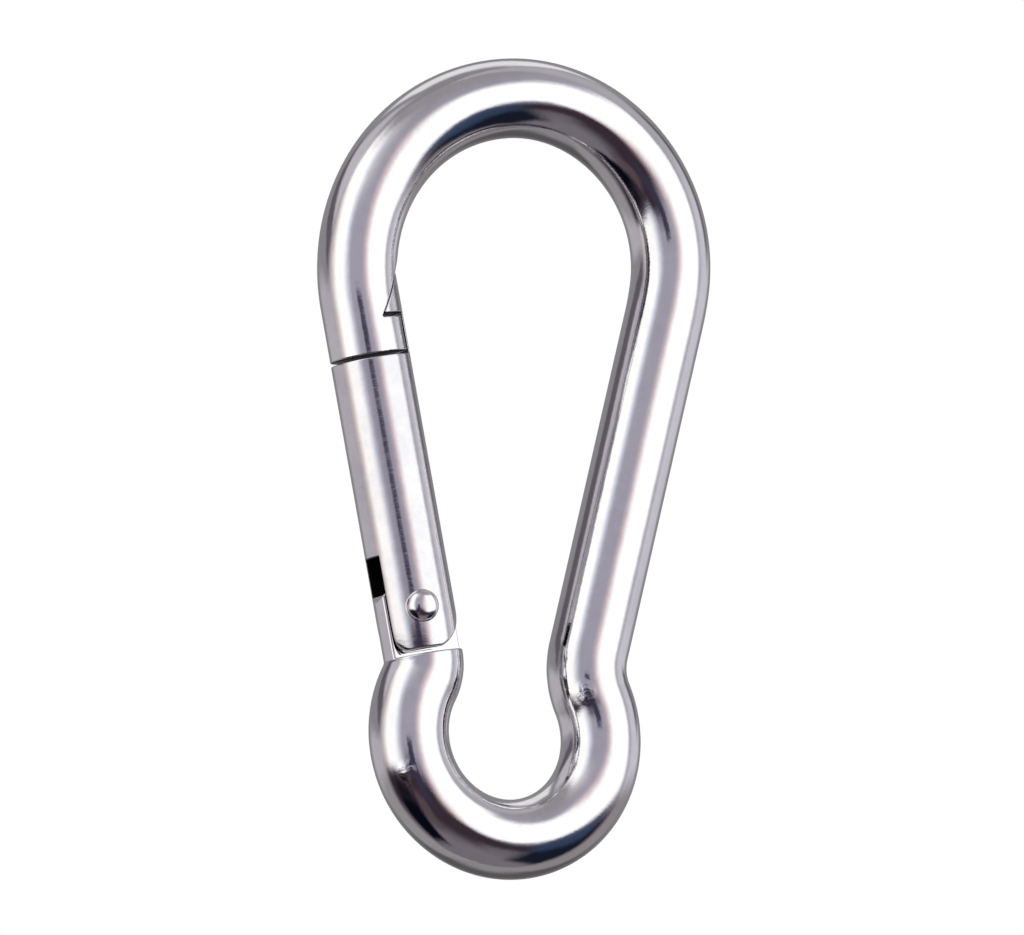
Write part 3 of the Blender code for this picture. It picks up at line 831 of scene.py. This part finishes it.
def steel(name, light, dark, rough, turned, wave, grain, pits=0.5, shade_paint=None, folds=()):
    """Stainless steel. turned: depth of fine lines around the bar; wave: slow
    unevenness left by hand polishing; grain: fine speckle; pits: tiny nicks.
    The painted-shade function, if given, writes the share of painted shade from the three straight coordinates
    in bars: near-black colour that stands in for shade on the cut ends and in the recesses, there with a rougher
    machined surface."""
    mat = bpy.data.materials.new(name)
    mat.use_nodes = True
    tree = mat.node_tree
    tree.nodes.clear()
    out = tree.nodes.new("ShaderNodeOutputMaterial")
    bsdf = tree.nodes.new("ShaderNodeBsdfPrincipled")
    tree.links.new(bsdf.outputs[0], out.inputs[0])
    attribute = tree.nodes.new("ShaderNodeAttribute")
    attribute.attribute_name = "straight"
    v = attribute.outputs["Vector"]
    bsdf.inputs["Metallic"].default_value = 1.0
    slow = noise(tree, v, 160.0, 2.0, 0.5)
    lines = noise(tree, stretched(tree, v, (1.0, 0.06, 0.06)), 9000.0, 3.0, 0.65)
    cloud = noise(tree, v, 900.0, 4.0, 0.6)
    speck = noise(tree, v, 5200.0, 2.0, 0.6)
    scratch = noise(tree, stretched(tree, v, (0.05, 1.0, 1.0)), 5200.0, 2.0, 0.5)
    cell = tree.nodes.new("ShaderNodeTexVoronoi")
    cell.feature = 'F1'
    cell.inputs["Scale"].default_value = 620.0
    tree.links.new(v, cell.inputs["Vector"])
    pit = Wire(tree, cell.outputs["Distance"]).step(0.10, 0.03)
    chosen = noise(tree, v, 330.0, 1.0, 0.5).step(0.60, 0.68)
    pit = pit * chosen
    tone = (slow * 0.5 + cloud * 0.5).step(0.35, 0.65)
    colour = mixed(tree, tone, dark, light)
    colour = mixed(tree, pit * 0.45, colour, (0.30, 0.29, 0.28))
    tree.links.new(colour.socket, bsdf.inputs["Base Color"])
    roughness = (cloud.step(0.3, 0.75, rough * 0.75, rough * 1.35)
                 + lines.step(0.45, 0.75, 0.0, 0.10 * turned)
                 + speck.step(0.55, 0.75, 0.0, 0.05 * grain) + pit * 0.25)
    if shade_paint is not None:
        split = tree.nodes.new("ShaderNodeSeparateXYZ")
        tree.links.new(v, split.inputs[0])
        along, across, deep = (Wire(tree, split.outputs[i]) * (1.0 / D) for i in (0, 1, 2))
        # painted shade: the share turns the colour near-black on cut ends and in recesses, and the surface
        # rougher
        share = shade_paint(along, across, deep)
        colour = mixed(tree, share, colour, mixed(tree, lines.step(0.35, 0.65),
                                                  (0.050, 0.044, 0.042), (0.13, 0.12, 0.12)))
        tree.links.new(colour.socket, bsdf.inputs["Base Color"])
        roughness = roughness + share * 0.22
    tree.links.new(roughness.socket, bsdf.inputs["Roughness"])
    brushed = noise(tree, stretched(tree, v, (1.0, 0.30, 0.30)), 3600.0, 3.0, 0.6)
    height = (slow * (wave * 42e-6) + cloud * (wave * 8.0e-6) + brushed * (turned * 6.0e-6)
              + lines * (turned * 1.1e-6) + scratch * (0.35e-6)
              + speck * (grain * 1.3e-6) - pit * (pits * 9e-6))
    if folds:
        crumple = (noise(tree, stretched(tree, v, (1.0, 0.55, 0.55)), 3000.0, 2.0, 0.55, 0.8) * 4.0e-5
                   + noise(tree, v, 1500.0, 1.0, 0.5) * 7.0e-5)
        for a, b, c, reach in folds:
            near = tree.nodes.new("ShaderNodeVectorMath")
            near.operation = 'DISTANCE'
            tree.links.new(v, near.inputs[0])
            near.inputs[1].default_value = (a * D, b * D, c * D)
            height = height + crumple * (Wire(tree, near.outputs["Value"]) * (1.0 / D)).step(reach, reach * 0.25)
    bump = tree.nodes.new("ShaderNodeBump")
    bump.inputs["Strength"].default_value = 1.0
    bump.inputs["Distance"].default_value = 1.0
    tree.links.new(height.socket, bump.inputs["Height"])
    tree.links.new(bump.outputs[0], bsdf.inputs["Normal"])
    return mat


def distance_from(across, deep):
    return (across * across + deep * deep).power(0.5)


def gate_painted_shade(along, across, deep):
    """Painted shade in the slot between the cheeks, the bore and the cut free end: near-black colour where these
    recesses sit in shade.
    """
    slot = deep.absolute().step(SLOT_HALF + 0.012, SLOT_HALF + 0.002) * along.step(0.73, 0.71)
    end = inside(along, GATE_END_H - 0.006, GATE_END_H - 0.002, GATE_END_H + 0.01, GATE_END_H + 0.02)
    barb = BLOCK_TOP_H + LATCH_GAP
    end = end.high(inside(along, barb - 0.010, barb - 0.004, barb + 0.003, barb + 0.008))
    end = end * distance_from(across, deep).step(0.494, 0.486)
    return slot.high(end).high(distance_from(across, deep).step(BORE_R + 0.02, BORE_R + 0.005)
                               * along.step(2.6, 2.5))


def body_painted_shade(along, across, deep):
    """Painted shade on the nose's cut end and the undercut that the barb hooks behind: near-black colour where
    these faces sit in shade.
    """
    end = along.step(NOSE_END_H + 0.006, NOSE_END_H + 0.002)
    flat = inside(along, BLOCK_TOP_H - 0.012, BLOCK_TOP_H - 0.004, BLOCK_TOP_H + 0.01, BLOCK_TOP_H + 0.02)
    both_ends = end.high(flat) * distance_from(across, deep).step(0.494, 0.486)
    return both_ends * along.step(8.0, 7.0) * along.step(2.9, 3.0)


# body and gate steel carry painted shade, near-black colour, on their cut ends and in their recesses
body_steel = steel("body_steel", (0.93, 0.925, 0.93), (0.86, 0.86, 0.875), 0.062, 0.25, 1.0, 1.8,
                   shade_paint=body_painted_shade, folds=fold_spots())
gate_steel = steel("gate_steel", (0.90, 0.885, 0.90), (0.80, 0.79, 0.82), 0.095, 1.0, 0.7, 1.2, 0.4,
                   shade_paint=gate_painted_shade)
rivet_steel = steel("rivet_steel", (0.95, 0.945, 0.94), (0.88, 0.88, 0.88), 0.06, 0.1, 0.35, 0.4, 0.2)
plunger_steel = steel("plunger_steel", (0.115, 0.095, 0.080), (0.050, 0.042, 0.038), 0.30, 0.8, 0.3, 1.0)
spring_steel = steel("spring_steel", (0.60, 0.58, 0.56), (0.42, 0.40, 0.39), 0.22, 0.4, 0.2, 0.8)


# ---------------------------------------------------------------------- pieces
def place_piece(ob, body, node, mat):
    ob.data.materials.append(mat)
    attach(ob, body)
    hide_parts(node)
    return ob


place_piece(make_body(), "hook", "body", body_steel)
place_piece(make_gate(), "gate", "gate", gate_steel)
place_piece(make_rivet(), "gate", "hinge_rivet", rivet_steel)
place_piece(make_plunger(), "plunger", "plunger", plunger_steel)
spring = place_piece(make_spring(), "gate", "gate_spring", spring_steel)
spring_top = to_world(np.array([0.0]), np.array([0.0]), np.array([COIL_HIGH_H + WIRE_R]))[0]
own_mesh(spring)

# ------------------------------------------------------------- camera and room
AZ, EL, ROLL = math.radians(-23.2), math.radians(-10.0), math.radians(2.3)
forward = Vector((-math.sin(AZ) * math.cos(EL), math.cos(AZ) * math.cos(EL), -math.sin(EL)))
level = Vector((math.cos(AZ), math.sin(AZ), 0.0))
upright = level.cross(forward).normalized()
right = (level * math.cos(ROLL) + upright * math.sin(ROLL)).normalized()
up = right.cross(forward).normalized()
low, high = (Vector(c) for c in cad_box)
target = (low + high) / 2.0
target = Vector((target.x * 0.4, 0.0, target.z))
distance = 1.67
camera_data = bpy.data.cameras.new("camera")
camera_data.sensor_fit = 'HORIZONTAL'
camera_data.sensor_width = 36.0
seen_width = 0.0985
camera_data.lens = 36.0 * distance / seen_width
camera_data.clip_start = 0.05
camera_data.clip_end = 20.0
camera = bpy.data.objects.new("camera", camera_data)
bpy.context.scene.collection.objects.link(camera)
camera.matrix_world = Matrix((
    (right.x, up.x, -forward.x, target.x - forward.x * distance),
    (right.y, up.y, -forward.y, target.y - forward.y * distance),
    (right.z, up.z, -forward.z, target.z - forward.z * distance),
    (0.0, 0.0, 0.0, 1.0)))
bpy.context.scene.camera = camera

# the studio: a pale room with two large soft boxes in front of the hook to the
# left and right, a darker floor side and a dark gap under each box
world = bpy.data.worlds.new("studio")
bpy.context.scene.world = world
world.use_nodes = True
tree = world.node_tree
tree.nodes.clear()
coord = tree.nodes.new("ShaderNodeTexCoord")


def component(direction):
    node = tree.nodes.new("ShaderNodeVectorMath")
    node.operation = 'DOT_PRODUCT'
    tree.links.new(coord.outputs["Generated"], node.inputs[0])
    node.inputs[1].default_value = tuple(direction)
    return Wire(tree, node.outputs["Value"])


DEG = 180.0 / math.pi
cx, cy, cz = component(right), component(up), component(-forward)
lon = cx._math('ARCTAN2', cz) * DEG
lat = cy.high(-1.0).low(1.0)._math('ARCSINE') * DEG
wobble = noise(tree, coord.outputs["Generated"], 2.2, 3.0, 0.55)
lon_0, lat_0 = lon, lat
lon = lon + (wobble - 0.5) * 7.0
lat = lat + (noise(tree, coord.outputs["Generated"], 3.1, 2.0, 0.5) - 0.5) * 6.0
side = (lon - 5.0).absolute()

back = side.step(84.0, 104.0)
# front, upper part: lavender grey, lighter in a band near 50 degrees
upper = mixed(tree, lat.step(40.0, 75.0), (0.365, 0.345, 0.41), (0.31, 0.29, 0.31))
upper = mixed(tree, inside(lat, 30.0, 48.0, 58.0, 74.0) * lon.step(20.0, -30.0), upper, (0.62, 0.60, 0.63))
# front, lower part: dark brown near the level, grey at the bottom
lower = mixed(tree, lat.step(-58.0, -26.0), (0.175, 0.155, 0.180), (0.040, 0.026, 0.036))
lower = mixed(tree, inside(lon, -30.0, -20.0, -10.0, -3.0) * inside(lat, -50.0, -42.0, -24.0, -14.0) * 0.8,
              lower, (0.105, 0.075, 0.085))
lower = mixed(tree, inside(lon, 24.0, 36.0, 52.0, 66.0) * inside(lat, -60.0, -44.0, -36.0, -24.0) * 0.7,
              lower, (0.165, 0.150, 0.165))
horizon = lat - 2.0 + side.step(12.0, 44.0) * 15.0
front = mixed(tree, horizon.step(-8.0, 8.0), lower, upper)
# whoever stands in the middle, with a narrow upright shape
front = mixed(tree, inside(lon_0, -10.0, -4.0, 4.0, 10.0) * inside(lat_0, -24.0, -12.0, 9.5, 13.5) * 0.97,
              front, (0.040, 0.036, 0.068))
# dark gaps under the boxes
gap_l = inside(lon, -84.0, -66.0, -36.0, -22.0) * inside(lat, -72.0, -60.0, -36.0, -20.0)
gap_l = gap_l.high(inside(lon, -80.0, -60.0, -42.0, -34.0) * inside(lat, -44.0, -34.0, -26.0, -13.0) * 0.8)
gap_r = inside(lon, 42.0, 60.0, 90.0, 108.0) * inside(lat, -66.0, -54.0, -28.0, -12.0)
front = mixed(tree, gap_l, front, (0.0025, 0.003, 0.008))
front = mixed(tree, gap_r, front, (0.009, 0.011, 0.022))
# a blue cast just under the right box
front = mixed(tree, inside(lon, 46.0, 58.0, 78.0, 90.0) * inside(lat, -36.0, -22.0, -12.0, -3.0) * 0.85,
              front, (0.035, 0.060, 0.115))
# the boxes, with a warm inner edge on the right one, a cool one on the left
# and a cream flank at the far left
box_l = inside(lon - lat.high(0.0) * 0.10, -96.0, -80.0, -46.0, -18.0) * inside(lat, -17.0, -7.0, 54.0, 72.0)
box_r = inside(lon, 12.0, 42.0, 84.0, 97.0) * inside(lat, -13.0, -2.0, 36.0, 50.0)
cream = mixed(tree, lon.step(-62.0, -82.0) * lat.step(48.0, 24.0), (1.14, 1.12, 1.09), (0.60, 0.51, 0.48))
cream = mixed(tree, lon.step(-44.0, -22.0), cream, (0.86, 0.92, 1.10))
white_r = mixed(tree, lon.step(42.0, 20.0), (1.14, 1.15, 1.15), (1.02, 0.74, 0.70))
front = mixed(tree, box_l, front, cream)
front = mixed(tree, box_r, front, white_r)
# behind the hook on the left: mid grey, darker above the level, with a far light
slant = lat + (lon + 90.0) * 0.33
left = mixed(tree, lat.step(-2.0, 6.0), (0.46, 0.43, 0.47), (0.26, 0.245, 0.275))
left = mixed(tree, inside(slant, 3.0, 9.0, 17.0, 26.0) * inside(lon, -148.0, -132.0, -94.0, -82.0) * 0.9,
             left, (0.105, 0.085, 0.105))
left = mixed(tree, inside(slant, 19.0, 27.0, 48.0, 66.0) * inside(lon, -136.0, -122.0, -94.0, -82.0), left,
             (0.52, 0.49, 0.53))
left = mixed(tree, lat.step(-12.0, -24.0), left, (0.30, 0.28, 0.29))
# and on the right: lighter at the level, a dark column, grey below
right_back = mixed(tree, lat.step(-16.0, -2.0), (0.27, 0.245, 0.26), (0.60, 0.58, 0.64))
right_back = mixed(tree, lat.step(12.0, 34.0), right_back, (0.42, 0.40, 0.43))
right_back = mixed(tree, inside(lon, 122.0, 133.0, 146.0, 154.0) * inside(lat, 0.0, 8.0, 30.0, 42.0) * 0.9,
                   right_back, (0.075, 0.070, 0.080))
behind = mixed(tree, lon.step(-30.0, 30.0), left, right_back)
rear = lon_0.absolute()
behind = mixed(tree, rear.step(132.0, 150.0), behind,
               mixed(tree, lat.step(-40.0, -4.0), (0.10, 0.095, 0.10), (0.26, 0.25, 0.265)))
behind = mixed(tree, lat.step(-52.0, -74.0) * rear.step(120.0, 140.0), behind, (0.26, 0.25, 0.26))
# a third soft box behind, for the far side
behind = mixed(tree, rear.step(140.0, 152.0) * inside(lat, 34.0, 44.0, 58.0, 70.0), behind, (0.80, 0.80, 0.82))
room = mixed(tree, back, front, behind)
lamp = tree.nodes.new("ShaderNodeBackground")
tree.links.new(room.socket, lamp.inputs["Color"])
plain = tree.nodes.new("ShaderNodeBackground")
plain.inputs["Color"].default_value = (1.0, 1.0, 1.0, 1.0)
path = tree.nodes.new("ShaderNodeLightPath")
pick = tree.nodes.new("ShaderNodeMixShader")
tree.links.new(path.outputs["Is Camera Ray"], pick.inputs[0])
tree.links.new(lamp.outputs[0], pick.inputs[1])
tree.links.new(plain.outputs[0], pick.inputs[2])
end = tree.nodes.new("ShaderNodeOutputWorld")
tree.links.new(pick.outputs[0], end.inputs["Surface"])

# pale floor well under the hanging hook
floor_mesh = bpy.data.meshes.new("floor")
size, drop = 3.0, low.z - 0.55
floor_mesh.from_pydata([(-size, -size, drop), (size, -size, drop),
                        (size, size, drop), (-size, size, drop)], [], [(0, 1, 2, 3)])
floor = bpy.data.objects.new("floor", floor_mesh)
bpy.context.scene.collection.objects.link(floor)
pale = bpy.data.materials.new("pale_floor")
pale.use_nodes = True
shade = pale.node_tree.nodes["Principled BSDF"]
shade.inputs["Roughness"].default_value = 0.9
shade.inputs["Emission Color"].default_value = (1.0, 1.0, 1.0, 1.0)
shade.inputs["Emission Strength"].default_value = 0.35
grain_node = pale.node_tree.nodes.new("ShaderNodeTexNoise")
grain_node.inputs["Scale"].default_value = 3.0
ramp = pale.node_tree.nodes.new("ShaderNodeMapRange")
ramp.inputs["To Min"].default_value = 0.86
ramp.inputs["To Max"].default_value = 0.90
pale.node_tree.links.new(grain_node.outputs["Fac"], ramp.inputs["Value"])
pale.node_tree.links.new(ramp.outputs["Result"], shade.inputs["Base Color"])
floor.data.materials.append(pale)
floor.visible_glossy = False

# soft overhead light for the floor
lamp_data = bpy.data.lights.new("overhead", 'AREA')
lamp_data.shape = 'DISK'
lamp_data.size = 5.0
lamp_data.energy = 190.0
lamp_ob = bpy.data.objects.new("overhead", lamp_data)
lamp_ob.location = (0.0, 0.0, 2.6)
lamp_ob.visible_glossy = False
bpy.context.scene.collection.objects.link(lamp_ob)

bpy.context.scene.view_settings.view_transform = 'Standard'
bpy.context.scene.view_settings.look = 'None'

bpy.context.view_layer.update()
